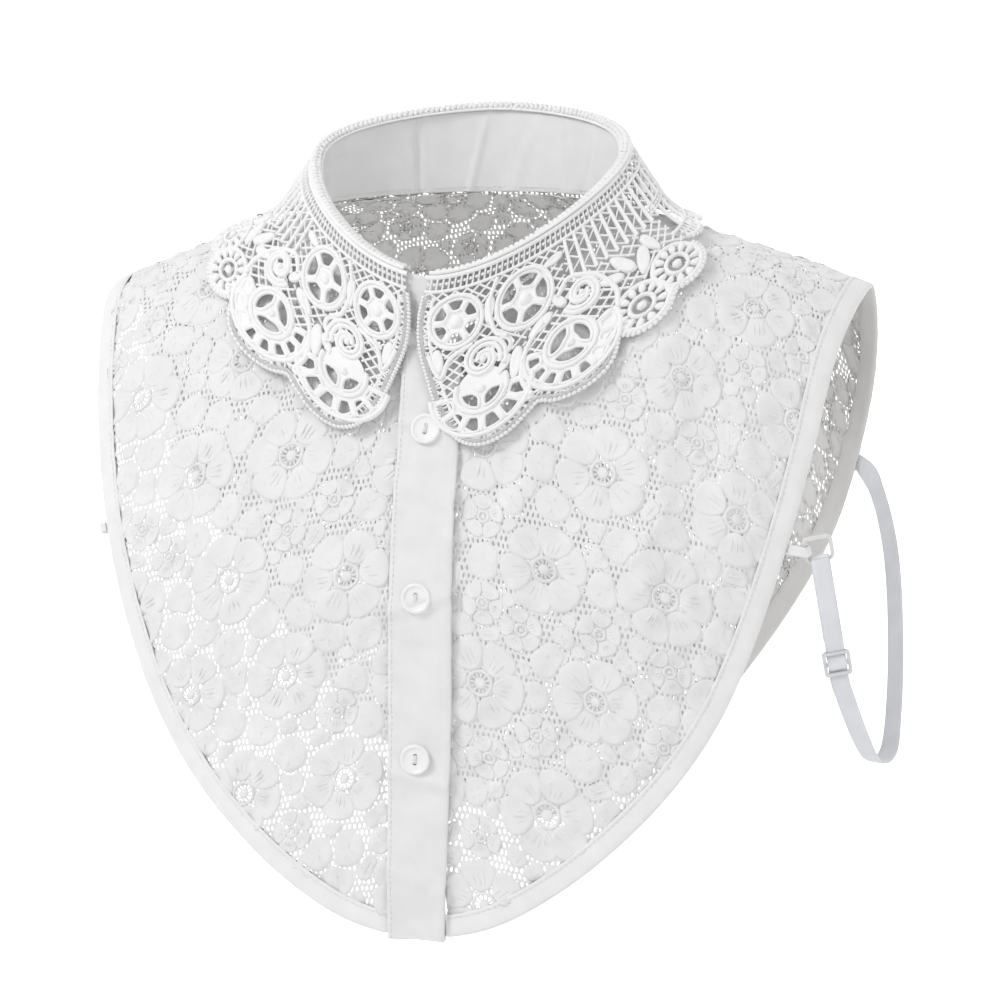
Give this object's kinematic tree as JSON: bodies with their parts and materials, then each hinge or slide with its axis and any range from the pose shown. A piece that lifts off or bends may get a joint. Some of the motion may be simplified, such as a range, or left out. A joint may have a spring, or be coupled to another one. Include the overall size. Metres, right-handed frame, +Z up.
{
  "type": "lace dickey collar",
  "caption": "Detachable lace dickey collar in its worn, hollow form: lace front and back, button placket, stand with a guipure lace fall, bound edges and elastic side straps.",
  "frame": {"origin": "middle of the neck opening, level with the neck seam at the sides of the neck, where the wearer's neck holds the garment", "axes": "+X to the wearer's left, +Y to the wearer's back, so the front faces -Y, and +Z up along the neck"},
  "size_m": [0.3608, 0.1945, 0.3512],
  "materials": {
    "panel_lace": "fine white all-over flower lace, matt",
    "guipure_lace": "thick white guipure lace of matt embroidery thread",
    "cotton": "plain white cotton, lightly creased",
    "binding": "folded white cotton tape, stitched",
    "button": "white shirt button with a soft gloss",
    "strap_plastic": "translucent white moulded plastic",
    "elastic": "narrow ribbed white elastic"
  },
  "bodies": {
    "root": {"front_panel_left": "panel_lace", "front_panel_right": "panel_lace", "back_panel": "panel_lace", "collar_lace_left": "guipure_lace", "collar_lace_right": "guipure_lace", "collar_stand": "cotton", "placket_under": "cotton", "placket_over": "cotton", "binding_front_left": "binding", "binding_front_right": "binding", "binding_back": "binding", "button_1": "button", "button_2": "button", "button_3": "button", "button_4": "button", "strap_tab_left": "binding", "strap_tab_right": "binding", "strap_ring_left": "strap_plastic", "strap_ring_right": "strap_plastic", "strap_slider_left": "strap_plastic", "strap_slider_right": "strap_plastic", "strap_elastic_left": "elastic", "strap_elastic_right": "elastic"}
  },
  "joints": []
}
